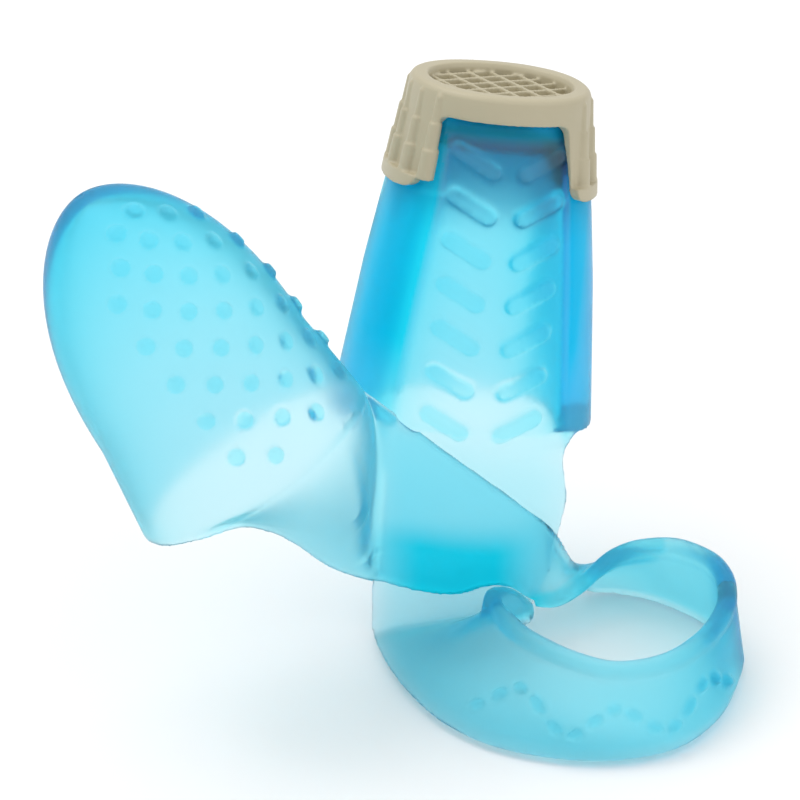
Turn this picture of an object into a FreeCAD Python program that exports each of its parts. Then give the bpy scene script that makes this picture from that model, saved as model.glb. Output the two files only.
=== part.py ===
import FreeCAD, Part
import math
import os

# Finger-and-thumb sewing thimble: one soft silicone moulding (finger stall,
# strap, finger ring, twisted web, thumb stall) and a hard cap on the finger tip.
# Millimetres. X to the wearer's right, Y away from the finger's pad, Z up.
# Origin: floor level, at the middle of the whole part's footprint.

Vector = FreeCAD.Vector
doc = FreeCAD.newDocument("thimble")
sheet = doc.addObject("Spreadsheet::Sheet", "Dimensions")

# The shift takes the ring's axis, from which all stations are given, to its
# place beside the middle of the footprint.
DIMENSIONS = [
    ("shift_x", 15.89),
    ("shift_y", -7.17),
    ("wall", 1.3),
    ("sheet_thickness", 1.2),
    ("finger_mouth_x", -10.4),
    ("finger_mouth_y", 14.2),
    ("finger_mouth_z", 20.3),
    ("finger_lean_right", 6.6),
    ("finger_lean_back", 15.0),
    ("finger_turn", 10.0),
    ("cap_bottom", 22.5),
    ("cap_top", 32.2),
    ("cap_bottom_half_width", 9.5),
    ("cap_bottom_half_depth", 8.5),
    ("cap_top_half_width", 8.45),
    ("cap_top_half_depth", 7.9),
    ("cap_floor", 0.8),
    ("collar_height", 1.35),
    ("collar_proud", 0.3),
    ("window_height", 6.8),
    ("window_bottom_width", 14.1),
    ("window_top_width", 11.1),
    ("window_shift", -0.65),
    ("window_corner", 0.9),
    ("rib_radius", 0.42),
    ("rib_swell", 0.13),
    ("rib_spacing", 18.5),
    ("rib_top", 31.2),
    ("rib_length", 2.4),
    ("recess_depth", 1.2),
    ("recess_rim", 1.8),
    ("grid_rib_width", 0.32),
    ("grid_rib_height", 0.45),
    ("grid_turn", 26.0),
    ("grid_slant", 81.0),
    ("grid_row_pitch", 1.85),
    ("grid_column_pitch", 2.3),
    ("bar_length", 5.1),
    ("bar_width", 1.5),
    ("bar_proud", 0.4),
    ("bar_slope", 28.0),
    ("bar_first", 25.9),
    ("bar_pitch", 4.15),
    ("bar_offset", 3.2),
    ("thumb_mouth_x", -29.4),
    ("thumb_mouth_y", -2.5),
    ("thumb_mouth_z", 25.0),
    ("thumb_axis_x", -15.6),
    ("thumb_axis_y", 3.0),
    ("thumb_axis_z", 27.2),
    ("thumb_turn", 33.0),
    ("dot_radius", 0.72),
    ("dot_proud", 0.45),
    ("dot_first", 3.1),
    ("dot_pitch", 4.3),
    ("dot_rise", 0.2),
    ("dot_start", -14.0),
    ("dot_turn", 16.8),
    ("dot_drift", -0.75),
    ("lip_radius", 0.95),
]
for row, (alias, value) in enumerate(DIMENSIONS, start=1):
    sheet.set("A%d" % row, alias)
    sheet.set("B%d" % row, str(value))
    sheet.setAlias("B%d" % row, alias)

# Stations of the stalls: distance along the axis, half width, half depth.
FINGER_STATIONS = [
    (0.0, 12.4, 8.3),
    (7.0, 11.6, 8.2),
    (14.0, 10.8, 8.1),
    (21.0, 9.75, 7.9),
    (22.4, 9.5, 7.85),
    (22.6, 8.9, 7.85),
    (26.0, 8.3, 7.5),
    (29.0, 7.6, 7.1),
    (30.2, 6.9, 6.4),
]
FINGER_BORE_STATIONS = [
    (-0.5, 9.2, 7.0),
    (7.0, 8.5, 6.9),
    (14.0, 7.7, 6.8),
    (21.0, 6.8, 6.5),
    (24.0, 6.2, 6.1),
    (27.0, 5.2, 5.0),
]
THUMB_STATIONS = [
    (0.0, 12.0, 9.7),
    (9.0, 11.1, 9.0),
    (14.0, 10.75, 8.7),
    (18.0, 10.1, 8.15),
    (21.0, 9.2, 7.45),
    (24.0, 7.9, 6.4),
    (26.0, 6.7, 5.45),
    (27.8, 5.2, 4.2),
    (29.2, 3.5, 2.85),
    (29.9, 2.3, 1.85),
    (30.3, 1.25, 1.0),
]
# Strips: pairs of edge points, one pair per station.
RING_STATIONS = [
    ((-3.0, 7.0, 5.0), (-18.7, 7.0, 6.0)),
    ((-4.7, 6.0, 3.6), (-18.9, 6.9, 0.0)),
    ((-6.3, 4.0, 4.2), (-18.0, 2.6, 0.0)),
    ((-7.2, 1.5, 6.3), (-15.6, -3.8, 0.0)),
    ((-6.9, -2.0, 7.6), (-12.3, -9.2, 0.0)),
    ((-4.6, -6.4, 7.8), (-7.6, -13.0, 0.0)),
    ((-0.6, -9.6, 7.6), (-1.8, -14.9, 0.0)),
    ((3.6, -10.9, 7.3), (3.8, -15.1, 0.0)),
    ((8.2, -9.9, 7.5), (9.2, -13.1, 0.0)),
    ((11.8, -6.7, 7.9), (13.2, -8.4, 0.0)),
    ((13.9, -2.6, 8.3), (15.2, -2.6, 0.0)),
    ((14.2, 1.8, 8.7), (15.4, 2.6, 0.0)),
    ((12.7, 5.6, 8.8), (14.0, 7.4, 0.0)),
    ((9.8, 9.0, 8.4), (11.2, 11.4, 0.0)),
    ((6.6, 10.6, 7.4), (7.9, 13.6, 0.0)),
    ((4.2, 10.4, 6.6), (5.0, 14.3, 0.1)),
]
WEB_STATIONS = [
    ((4.2, 10.4, 6.6), (5.0, 14.3, 0.1)),
    ((3.0, 9.5, 6.0), (2.6, 13.6, 0.8)),
    ((1.6, 8.0, 5.2), (0.9, 11.4, 4.2)),
    ((0.2, 6.5, 4.7), (0.1, 8.4, 8.8)),
    ((-1.4, 5.4, 4.6), (-1.4, 5.7, 12.2)),
    ((-3.4, 4.7, 5.0), (-3.8, 4.9, 14.4)),
    ((-5.3, 4.1, 6.7), (-6.6, 4.6, 17.2)),
    ((-7.4, 3.7, 7.7), (-9.3, 4.4, 19.6)),
    ((-10.0, 3.9, 6.4), (-12.2, 4.2, 22.1)),
    ((-13.6, 4.5, 6.2), (-15.0, 4.1, 24.6)),
    ((-18.4, 5.2, 6.9), (-17.6, 4.2, 27.0)),
]
GUSSET_STATIONS = [
    ((-19.5, 4.7, 7.6), (-18.7, 3.9, 27.8)),
    ((-21.0, 2.6, 9.4), (-20.3, 3.0, 29.6)),
    ((-23.4, -0.8, 13.2), (-21.0, 0.0, 30.8)),
    ((-25.6, -4.6, 17.6), (-21.6, -4.2, 30.8)),
    ((-28.0, -8.3, 21.9), (-24.4, -8.6, 29.5)),
    ((-30.6, -11.6, 24.7), (-28.6, -11.2, 27.8)),
]
STRAP_ROOT_STATIONS = [
    ((-18.7, 7.0, 6.0), (-18.3, 7.0, 19.3)),
    ((-15.6, 7.0, 5.8), (-15.6, 7.0, 20.0)),
    ((-12.2, 7.0, 5.6), (-12.2, 7.0, 19.6)),
    ((-6.8, 7.0, 5.3), (-6.8, 7.0, 14.8)),
    ((-1.9, 7.0, 5.2), (-1.6, 7.0, 9.9)),
]
STRAP_STATIONS = [
    ((-11.8, 7.0, 20.1), (-11.8, 6.8, 22.3)),
    ((-9.4, 7.0, 17.8), (-9.4, 6.8, 22.7)),
    ((-5.4, 7.0, 14.0), (-5.4, 7.4, 22.2)),
    ((-1.6, 7.2, 10.5), (-1.0, 8.8, 20.8)),
]
# The rolled edge of the ring: from the kink, round the front and back to the twist.
LIP_PATH = [
    (-6.9, -2.0, 8.4),
    (-4.6, -6.4, 8.6),
    (-0.6, -9.6, 8.3),
    (3.6, -10.9, 8.1),
    (8.2, -9.9, 8.3),
    (11.8, -6.7, 8.7),
    (13.9, -2.6, 9.1),
    (14.2, 1.8, 9.5),
    (12.7, 5.6, 9.6),
    (9.8, 9.0, 9.1),
    (6.6, 10.6, 8.0),
    (4.3, 10.5, 7.2),
]
STRIP_STEPS = 3
CHEVRON_ROWS = 7
RIBS_PER_LEG = 5
RIB_SEGMENTS = 3
DOTS_IN_COLUMN = [5, 6, 6, 6, 6, 6, 5]

TABLES = [
    ("finger_stations", FINGER_STATIONS),
    ("finger_bore_stations", FINGER_BORE_STATIONS),
    ("thumb_stations", THUMB_STATIONS),
    ("ring_stations", RING_STATIONS),
    ("web_stations", WEB_STATIONS),
    ("gusset_stations", GUSSET_STATIONS),
    ("strap_root_stations", STRAP_ROOT_STATIONS),
    ("strap_stations", STRAP_STATIONS),
    ("lip_path", LIP_PATH),
]
TABLE_COLUMNS = "EFGHIJ"
table_rows = {}
next_row = 1
for name, table in TABLES:
    sheet.set("D%d" % next_row, name)
    table_rows[name] = (next_row + 1, len(table))
    next_row += 1
    for entry in table:
        numbers = []
        for item in entry:
            numbers.extend(item if isinstance(item, tuple) else (item,))
        for column, number in zip(TABLE_COLUMNS, numbers):
            sheet.set("%s%d" % (column, next_row), str(number))
        next_row += 1
doc.recompute()


def size(alias):
    """A driving dimension, read back from the sheet."""
    return float(sheet.get(alias))


def table(name, columns):
    """A table of stations, read back from the sheet."""
    first, count = table_rows[name]
    rows = range(first, first + count)
    return [[float(sheet.get("%s%d" % (c, r))) for c in TABLE_COLUMNS[:columns]] for r in rows]


shift = Vector(size("shift_x"), size("shift_y"), 0)


def frame(origin, axis, front_turn):
    """Local frame: z along the axis, -y to the front (pad) side, x across."""
    z_axis = Vector(axis).normalize()
    turn = math.radians(front_turn)
    front = Vector(math.sin(turn), -math.cos(turn), 0)
    y_axis = (front - z_axis * front.dot(z_axis)).normalize() * -1
    x_axis = y_axis.cross(z_axis)
    return FreeCAD.Placement(origin + shift, FreeCAD.Rotation(x_axis, y_axis, z_axis, "ZXY"))


def oval(name, base, height, half_width, half_depth):
    """An elliptical section across a stall."""
    section = doc.addObject("Part::Ellipse", name)
    section.MajorRadius = half_width
    section.MinorRadius = half_depth
    section.Placement = base * FreeCAD.Placement(Vector(0, 0, height), FreeCAD.Rotation())
    return section


def oval_loft(name, base, stations, grow):
    """A solid through elliptical sections, grown outward by a thickness."""
    sections = []
    for index, (height, half_width, half_depth) in enumerate(stations):
        sections.append(oval("%s_%d" % (name, index), base, height, half_width + grow, half_depth + grow))
    loft = doc.addObject("Part::Loft", name)
    loft.Sections = sections
    loft.Solid = True
    loft.Ruled = True
    return loft


def cut(name, base, tool):
    result = doc.addObject("Part::Cut", name)
    result.Base = base
    result.Tool = tool
    return result


def common(name, base, tool):
    result = doc.addObject("Part::Common", name)
    result.Base = base
    result.Tool = tool
    return result


def fuse(name, shapes):
    result = doc.addObject("Part::MultiFuse", name)
    result.Shapes = shapes
    return result


def smoothed(pairs):
    """The stations with evenly spaced ones put between them on a smooth curve."""
    last = len(pairs) - 1
    result = []
    for index in range(last):
        window = [pairs[max(index - 1, 0)], pairs[index], pairs[index + 1], pairs[min(index + 2, last)]]
        for step in range(STRIP_STEPS):
            share = step / STRIP_STEPS
            station = []
            for p0, p1, p2, p3 in zip(*window):
                bend = 2 * p0 - 5 * p1 + 4 * p2 - p3
                twist = 3 * p1 - p0 - 3 * p2 + p3
                value = 2 * p1 + (p2 - p0) * share + bend * share ** 2 + twist * share ** 3
                station.append(value / 2)
            result.append(station)
    result.append(pairs[last])
    return result


def strip_shape(pairs, thickness):
    """A thin closed strip through pairs of edge points."""
    lows = [Vector(*pair[:3]) for pair in pairs]
    highs = [Vector(*pair[3:]) for pair in pairs]
    wires = []
    last = len(pairs) - 1
    for index in range(len(pairs)):
        before = max(index - 1, 0)
        after = min(index + 1, last)
        along = (lows[after] + highs[after] - lows[before] - highs[before]).normalize()
        across = (highs[index] - lows[index]).normalize()
        normal = along.cross(across).normalize() * (thickness / 2)
        low = lows[index]
        high = highs[index]
        corners = [low - normal, high - normal, high + normal, low + normal, low - normal]
        wires.append(Part.makePolygon(corners))
    return Part.makeLoft(wires, True, True)


def strip(name, table_name):
    feature = doc.addObject("Part::Feature", name)
    feature.Shape = strip_shape(smoothed(table(table_name, 6)), size("sheet_thickness"))
    feature.Placement.Base = shift
    return feature


# ---------------------------------------------------------------- finger stall
finger_axis = Vector(math.tan(math.radians(size("finger_lean_right"))),
                     math.tan(math.radians(size("finger_lean_back"))), 1)
finger_origin = Vector(size("finger_mouth_x"), size("finger_mouth_y"), size("finger_mouth_z"))
finger = frame(finger_origin, finger_axis, size("finger_turn"))
finger_stations = table("finger_stations", 3)
finger_outer = oval_loft("finger_outer", finger, finger_stations, 0.0)
finger_bore = oval_loft("finger_bore", finger, table("finger_bore_stations", 3), 0.0)
finger_stall = cut("finger_stall", finger_outer, finger_bore)

# Chevron bars: slabs through the pad side, kept only where they stand proud.
bar_skin = oval_loft("bar_skin", finger, finger_stations, size("bar_proud"))
bar_shell = cut("bar_shell", bar_skin, finger_outer)
bars = []
BAR_REACH = 12.0
for row in range(CHEVRON_ROWS):
    height = size("bar_first") - row * size("bar_pitch")
    for side in (-1, 1):
        slab = doc.addObject("Part::Box", "bar_slab_%d_%d" % (row, side + 1))
        slab.setExpression("Length", "Dimensions.bar_length")
        slab.setExpression("Height", "Dimensions.bar_width")
        slab.Width = BAR_REACH
        centre = Vector(-size("bar_length") / 2, -BAR_REACH - 2, -size("bar_width") / 2)
        tilt = FreeCAD.Rotation(Vector(0, 1, 0), -side * size("bar_slope"))
        seat = FreeCAD.Placement(Vector(side * size("bar_offset"), 0, height), tilt)
        slab.Placement = finger * seat * FreeCAD.Placement(centre, FreeCAD.Rotation())
        bars.append(slab)
bars_proud = common("bars_proud", fuse("bar_slabs", bars), bar_shell)

# ------------------------------------------------------------------- tip cap
cap_sections = [
    (size("cap_bottom"), size("cap_bottom_half_width"), size("cap_bottom_half_depth")),
    (size("cap_top"), size("cap_top_half_width"), size("cap_top_half_depth")),
]
cap_skin = oval_loft("cap_skin", finger, cap_sections, 0.0)
collar_top = size("cap_bottom") + size("collar_height")
cap_span = size("cap_top") - size("cap_bottom")


def cap_size_at(height):
    """Half width and half depth of the cap's skin at a height."""
    share = (height - size("cap_bottom")) / cap_span
    half_width = size("cap_bottom_half_width") * (1 - share) + size("cap_top_half_width") * share
    half_depth = size("cap_bottom_half_depth") * (1 - share) + size("cap_top_half_depth") * share
    return half_width, half_depth


collar_sections = [(height,) + cap_size_at(height) for height in (size("cap_bottom"), collar_top)]
collar = oval_loft("cap_collar", finger, collar_sections, size("collar_proud"))
ribs = []
for side in (0, 180):
    for index in range(RIBS_PER_LEG):
        turn = side + (index - (RIBS_PER_LEG - 1) / 2) * size("rib_spacing")
        angle = math.radians(turn)
        for segment in range(RIB_SEGMENTS):
            top = size("rib_top") - segment * size("rib_length")
            bottom = max(top - size("rib_length"), size("cap_bottom") + 0.4)
            proud = -size("rib_swell")
            ends = []
            for height in (bottom, top):
                half_width, half_depth = cap_size_at(height)
                ends.append(Vector((half_width + proud) * math.cos(angle),
                                   (half_depth + proud) * math.sin(angle), height))
            rib = doc.addObject("Part::Cylinder", "rib_%d_%d_%d" % (side, index, segment))
            rib.setExpression("Radius", "Dimensions.rib_radius + %d * Dimensions.rib_swell" % segment)
            rib.Height = (ends[1] - ends[0]).Length
            rise = FreeCAD.Rotation(Vector(0, 0, 1), ends[1] - ends[0])
            rib.Placement = finger * FreeCAD.Placement(ends[0], rise)
            ribs.append(rib)
cap_body = fuse("cap_body", [cap_skin, collar] + ribs)

# Inside of the cap follows the silicone; the front and back windows show it.
inner_top = size("cap_top") - size("recess_depth") - size("cap_floor")
fit_stations = [list(station) for station in finger_stations]
fit_stations[-1][0] = inner_top
cap_inside = oval_loft("cap_inside", finger, fit_stations, 0.02)
recess_sections = []
for height in (size("cap_top") - size("recess_depth"), size("cap_top") + 0.5):
    recess_sections.append((height, size("cap_top_half_width") - size("recess_rim"),
                            size("cap_top_half_depth") - size("recess_rim")))
recess = oval_loft("cap_recess", finger, recess_sections, 0.0)
half_top = size("window_top_width") / 2
half_bottom = size("window_bottom_width") / 2
window_low = size("cap_bottom") - 1.0
window_high = size("cap_bottom") + size("window_height")
corner = size("window_corner")
centre = size("window_shift")
WINDOW_REACH = 15.0
window_outline = [Vector(centre - half_bottom, -WINDOW_REACH, window_low)]
for side, angles in ((-1, (0, 22.5, 45, 67.5, 90)), (1, (90, 67.5, 45, 22.5, 0))):
    for angle in angles:
        across = half_top - corner + corner * math.cos(math.radians(angle))
        height = window_high - corner + corner * math.sin(math.radians(angle))
        window_outline.append(Vector(centre + side * across, -WINDOW_REACH, height))
window_outline.append(Vector(centre + half_bottom, -WINDOW_REACH, window_low))
window = doc.addObject("Part::Feature", "cap_window")
window_face = Part.Face(Part.makePolygon(window_outline + [window_outline[0]]))
window.Shape = window_face.extrude(Vector(0, 2 * WINDOW_REACH, 0))
window.Placement = finger
cap_shell = cut("cap_shell", cut("cap_dished", cap_body, recess), window)
tip_cap = cut("tip_cap", cap_shell, cap_inside)
finger_grip_bars = cut("finger_grip_bars", bars_proud, tip_cap)

# Waffle grid that stops the needle's eye slipping, on the floor of the recess.
GRID_REACH = 20.0
grid_bars = []
grid_directions = [
    (size("grid_turn"), size("grid_row_pitch")),
    (size("grid_turn") + size("grid_slant"), size("grid_column_pitch")),
]
for direction, pitch in grid_directions:
    for index in range(-3, 4):
        wire_bar = doc.addObject("Part::Box", "grid_%d_%d" % (int(direction), index + 3))
        wire_bar.Length = GRID_REACH
        wire_bar.setExpression("Width", "Dimensions.grid_rib_width")
        wire_bar.setExpression("Height", "Dimensions.grid_rib_height")
        floor = size("cap_top") - size("recess_depth")
        turn = FreeCAD.Rotation(Vector(0, 0, 1), direction)
        offset = Vector(-GRID_REACH / 2, index * pitch - size("grid_rib_width") / 2, 0)
        seat = FreeCAD.Placement(Vector(0, 0, floor), turn)
        wire_bar.Placement = finger * seat * FreeCAD.Placement(offset, FreeCAD.Rotation())
        grid_bars.append(wire_bar)
needle_grid = common("needle_grid", fuse("grid_bars", grid_bars), recess)

# ---------------------------------------------------------------- thumb stall
thumb_axis = Vector(size("thumb_axis_x"), size("thumb_axis_y"), size("thumb_axis_z"))
thumb_origin = Vector(size("thumb_mouth_x"), size("thumb_mouth_y"), size("thumb_mouth_z"))
thumb = frame(thumb_origin, thumb_axis, size("thumb_turn"))
thumb_stations = table("thumb_stations", 3)
thumb_outer = oval_loft("thumb_outer", thumb, thumb_stations, 0.0)
thumb_bore_stations = [list(station) for station in thumb_stations[:-2]]
for station in thumb_bore_stations[1:]:
    station[0] -= size("wall") / 2
thumb_bore_stations[0][0] -= 0.5
thumb_bore = oval_loft("thumb_bore", thumb, thumb_bore_stations, -size("wall"))
thumb_stall = cut("thumb_stall", thumb_outer, thumb_bore)

dot_skin = oval_loft("dot_skin", thumb, thumb_stations, size("dot_proud"))
dot_shell = cut("dot_shell", dot_skin, thumb_outer)
DOT_START = 5.0
DOT_REACH = 9.0
dots = []
for column, count in enumerate(DOTS_IN_COLUMN):
    # Every other column starts half a step higher.
    stagger = size("dot_pitch") / 2 * (1 - column % 2)
    for index in range(count):
        height = size("dot_first") + column * size("dot_rise") + stagger + index * size("dot_pitch")
        # Angle round the stall, measured from the middle of the pad side.
        turn = size("dot_start") + column * size("dot_turn") + height * size("dot_drift")
        angle = math.radians(turn - 90)
        outward = Vector(math.cos(angle), math.sin(angle), 0)
        dot = doc.addObject("Part::Cylinder", "dot_%d_%d" % (column, index))
        dot.setExpression("Radius", "Dimensions.dot_radius")
        dot.Height = DOT_REACH
        aim = FreeCAD.Rotation(Vector(0, 0, 1), outward)
        seat = FreeCAD.Placement(Vector(0, 0, height) + outward * DOT_START, aim)
        dot.Placement = thumb * seat
        dots.append(dot)
thumb_grip_dots = common("thumb_grip_dots", fuse("dot_pins", dots), dot_shell)

# ------------------------------------------------------- ring, strap and web
lip_points = [Vector(*point) for point in table("lip_path", 3)]
lip_curve = Part.BSplineCurve()
lip_curve.interpolate(lip_points)
lip_edge = lip_curve.toShape()
lip_start = lip_curve.value(lip_curve.FirstParameter)
lip_tangent = lip_curve.tangent(lip_curve.FirstParameter)[0]
lip_circle = Part.Wire(Part.makeCircle(size("lip_radius"), lip_start, lip_tangent))
ring_lip = doc.addObject("Part::Feature", "ring_lip")
ring_lip.Shape = Part.Wire(lip_edge).makePipeShell([lip_circle], True, True)
ring_lip.Placement.Base = shift

FLOOR_DEPTH = 5.0
FLOOR_REACH = 100.0
floor_block = doc.addObject("Part::Box", "floor_block")
floor_block.Length = FLOOR_REACH
floor_block.Width = FLOOR_REACH
floor_block.Height = FLOOR_DEPTH
floor_block.Placement.Base = Vector(-FLOOR_REACH / 2, -FLOOR_REACH / 2, -FLOOR_DEPTH)
strap_root = strip("strap_root", "strap_root_stations")
ring_trim = fuse("ring_trim", [ring_lip, strap_root, floor_block])
ring_band = cut("ring_band", strip("ring_strip", "ring_stations"), ring_trim)
web_trim = fuse("web_trim", [ring_lip, ring_band, strap_root, floor_block])
thumb_web = cut("thumb_web", strip("web_strip", "web_stations"), web_trim)
thumb_gusset = cut("thumb_gusset", strip("gusset_strip", "gusset_stations"), thumb_outer)
strap_trim = fuse("strap_trim", [finger_outer, finger_grip_bars])
finger_strap = cut("finger_strap", strip("strap_strip", "strap_stations"), strap_trim)

NODES = [
    tip_cap,
    needle_grid,
    finger_stall,
    finger_grip_bars,
    finger_strap,
    strap_root,
    ring_band,
    ring_lip,
    thumb_web,
    thumb_gusset,
    thumb_stall,
    thumb_grip_dots,
]
doc.recompute()
for item in doc.Objects:
    if "Invalid" in item.State or "Error" in item.State:
        raise RuntimeError("%s did not rebuild" % item.Name)
os.makedirs("parts", exist_ok=True)
for node in NODES:
    node.Label = node.Name
    if node.Shape.isNull() or not node.Shape.isValid():
        raise RuntimeError("%s has no valid shape" % node.Name)
    node.Shape.exportStep("parts/%s.step" % node.Name)
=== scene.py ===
import math

import bmesh
import bpy
import numpy as np
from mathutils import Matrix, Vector


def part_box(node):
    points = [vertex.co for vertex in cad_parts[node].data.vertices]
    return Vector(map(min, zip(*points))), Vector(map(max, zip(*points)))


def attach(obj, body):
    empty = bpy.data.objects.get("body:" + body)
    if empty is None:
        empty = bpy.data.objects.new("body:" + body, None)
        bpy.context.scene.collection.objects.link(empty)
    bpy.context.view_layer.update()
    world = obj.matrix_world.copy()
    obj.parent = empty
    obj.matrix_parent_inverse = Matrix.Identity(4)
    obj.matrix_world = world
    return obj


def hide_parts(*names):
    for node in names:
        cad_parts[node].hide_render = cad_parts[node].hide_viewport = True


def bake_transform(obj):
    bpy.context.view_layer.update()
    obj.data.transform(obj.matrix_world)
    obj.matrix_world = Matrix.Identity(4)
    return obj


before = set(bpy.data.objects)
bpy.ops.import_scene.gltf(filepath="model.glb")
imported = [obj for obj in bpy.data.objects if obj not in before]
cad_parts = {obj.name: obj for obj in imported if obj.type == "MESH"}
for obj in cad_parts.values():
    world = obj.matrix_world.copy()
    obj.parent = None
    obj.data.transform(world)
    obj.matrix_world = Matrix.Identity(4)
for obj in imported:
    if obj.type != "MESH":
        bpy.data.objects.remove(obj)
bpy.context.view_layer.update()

# Finger-and-thumb sewing thimble. Shapes are worked out in millimetres from the
# axis of the ring's foot, then placed in the row frame in metres.
MM = 0.001

ring_low, ring_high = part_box("ring_band")
RING_REACH = 16.15
RING_FRONT = 15.8
FOOT = np.array([ring_high.x / MM - RING_REACH, ring_low.y / MM + RING_FRONT, 0.0])

# The silicone's skin is rebuilt at this size of voxel, which melts its solids together.
VOXEL = 0.25
MELT_FACTOR = 0.5


# ------------------------------------------------------------------ helpers
def unit(vector):
    vector = np.array(vector, float)
    return vector / np.linalg.norm(vector)


def smoothstep(low, high, value):
    share = np.clip((value - low) / (high - low), 0.0, 1.0)
    return share * share * (3 - 2 * share)


def curve_through(points, share):
    """Points on a smooth curve through points; share runs from 0 to 1."""
    points = np.array(points, float)
    spans = len(points) - 1
    place = np.clip(np.asarray(share, float) * spans, 0, spans - 1e-9)
    index = place.astype(int)
    t = (place - index)[:, None]
    p0 = points[np.maximum(index - 1, 0)]
    p1 = points[index]
    p2 = points[index + 1]
    p3 = points[np.minimum(index + 2, spans)]
    return 0.5 * (2 * p1 + (p2 - p0) * t + (2 * p0 - 5 * p1 + 4 * p2 - p3) * t ** 2
                  + (3 * p1 - p0 - 3 * p2 + p3) * t ** 3)


def superoval(half_width, half_depth, angle, power):
    """Points at angles round an oval, squarer than an ellipse where power is over 2."""
    cosine, sine = np.cos(angle), np.sin(angle)
    return (half_width * np.sign(cosine) * np.abs(cosine) ** (2 / power),
            half_depth * np.sign(sine) * np.abs(sine) ** (2 / power))


class Part:
    """Vertices and faces of one closed solid after another, in millimetres."""

    def __init__(self):
        self.points = []
        self.faces = []

    def add(self, points, faces):
        start = len(self.points)
        self.points.extend(np.asarray(points, float).tolist())
        self.faces.extend([tuple(start + i for i in face) for face in faces])

    def add_tube(self, rings):
        """A closed skin over rings of equal length, with its ends filled."""
        count = len(rings[0])
        points = np.concatenate(rings)
        faces = []
        for row in range(len(rings) - 1):
            for column in range(count):
                right = (column + 1) % count
                a = row * count + column
                b = row * count + right
                faces.append((a, b, b + count, a + count))
        faces.append(tuple(range(count))[::-1])
        last = (len(rings) - 1) * count
        faces.append(tuple(range(last, last + count)))
        self.add(points, faces)

    def add_ringed(self, rings):
        """A closed skin over a loop of rings: the last joins the first."""
        count = len(rings[0])
        rows = len(rings)
        faces = []
        for row in range(rows):
            below = (row + 1) % rows
            for column in range(count):
                right = (column + 1) % count
                faces.append((row * count + column, row * count + right,
                              below * count + right, below * count + column))
        self.add(np.concatenate(rings), faces)

    def mesh(self, name):
        mesh = bpy.data.meshes.new(name)
        points = (np.array(self.points) + FOOT) * MM
        mesh.from_pydata(points.tolist(), [], self.faces)
        work = bmesh.new()
        work.from_mesh(mesh)
        bmesh.ops.recalc_face_normals(work, faces=work.faces)
        work.to_mesh(mesh)
        work.free()
        return mesh


def make_object(name, mesh):
    obj = bpy.data.objects.new(name, mesh)
    bpy.context.scene.collection.objects.link(obj)
    return obj


def apply_modifiers(obj):
    bpy.context.view_layer.update()
    graph = bpy.context.evaluated_depsgraph_get()
    mesh = bpy.data.meshes.new_from_object(obj.evaluated_get(graph))
    obj.modifiers.clear()
    obj.data = mesh


def melt(obj, voxel, rounds):
    """Turns overlapping solids into one skin with soft inner corners."""
    remesh = obj.modifiers.new("melt", "REMESH")
    remesh.mode = "VOXEL"
    remesh.voxel_size = voxel * MM
    remesh.adaptivity = 0.0
    smooth = obj.modifiers.new("soften", "SMOOTH")
    smooth.factor = MELT_FACTOR
    smooth.iterations = rounds
    apply_modifiers(obj)
    obj.data.polygons.foreach_set("use_smooth", [True] * len(obj.data.polygons))


class Stall:
    """A tapered oval sleeve closed by a dome, with its own frame."""

    def __init__(self, origin, axis, turn, stations, power):
        self.origin = np.array(origin, float)
        self.z = unit(axis)
        angle = math.radians(turn)
        front = np.array([math.sin(angle), -math.cos(angle), 0.0])
        self.y = -unit(front - self.z * (front @ self.z))
        self.x = np.cross(self.y, self.z)
        self.stations = np.array(stations, float)
        self.power = power

    def half_sizes(self, height):
        return (np.interp(height, self.stations[:, 0], self.stations[:, 1]),
                np.interp(height, self.stations[:, 0], self.stations[:, 2]))

    def local(self, height, angle, inset=0.0):
        """Local x, y on the oval at angles, inset inward by a wall."""
        half_width, half_depth = self.half_sizes(height)
        return superoval(half_width - inset, half_depth - inset, angle, self.power)

    def face(self, across, height):
        """Local y of the pad side at x across."""
        half_width, half_depth = self.half_sizes(height)
        bulge = np.clip(1 - np.abs(across / half_width) ** self.power, 0, 1)
        return -half_depth * bulge ** (1 / self.power)

    def place(self, x, y, height):
        x, y, height = np.broadcast_arrays(np.asarray(x, float), y, height)
        return (self.origin + x[..., None] * self.x + y[..., None] * self.y
                + height[..., None] * self.z)

    def wall_point(self, height, degrees, inset=0.6):
        x, y = self.local(height, math.radians(degrees), inset)
        return self.place(x, y, height)


# ------------------------------------------------------------------- stalls
FINGER_LEAN_RIGHT = 6.6
FINGER_LEAN_BACK = 15.0
FINGER_TOP = 30.2
# Between these heights the stall steps in, so that the cap's legs lie flush.
STEP_LOW = 22.4
STEP_HIGH = 22.6
# Each station: height, half width and half depth.
finger = Stall(
    (-10.4, 14.2, 20.3),
    (math.tan(math.radians(FINGER_LEAN_RIGHT)), math.tan(math.radians(FINGER_LEAN_BACK)), 1),
    10.0,
    [(-1, 12.5, 8.3), (0, 12.4, 8.3), (7, 11.6, 8.2), (14, 10.8, 8.1), (21, 9.75, 7.9),
     (STEP_LOW, 9.5, 7.85), (STEP_HIGH, 8.95, 7.85), (26, 8.35, 7.5), (29, 7.6, 7.1),
     (FINGER_TOP, 6.9, 6.4)],
    2.35,
)
# Half width and half depth of the finger's bore at heights.
FINGER_BORE = np.array([(0, 9.2, 7.3), (7, 8.5, 7.0), (14, 7.7, 6.7), (21, 6.8, 6.4),
                        (24, 6.2, 6.0), (26.6, 5.3, 5.1)], float)
BORE_SHIFT = 0.25
BORE_POWER = 2.6
THUMB_HALF_WIDTH = 12.05
THUMB_HALF_DEPTH = 9.7
THUMB_TOP = 30.5
THUMB_POWER = 2.1
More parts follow.
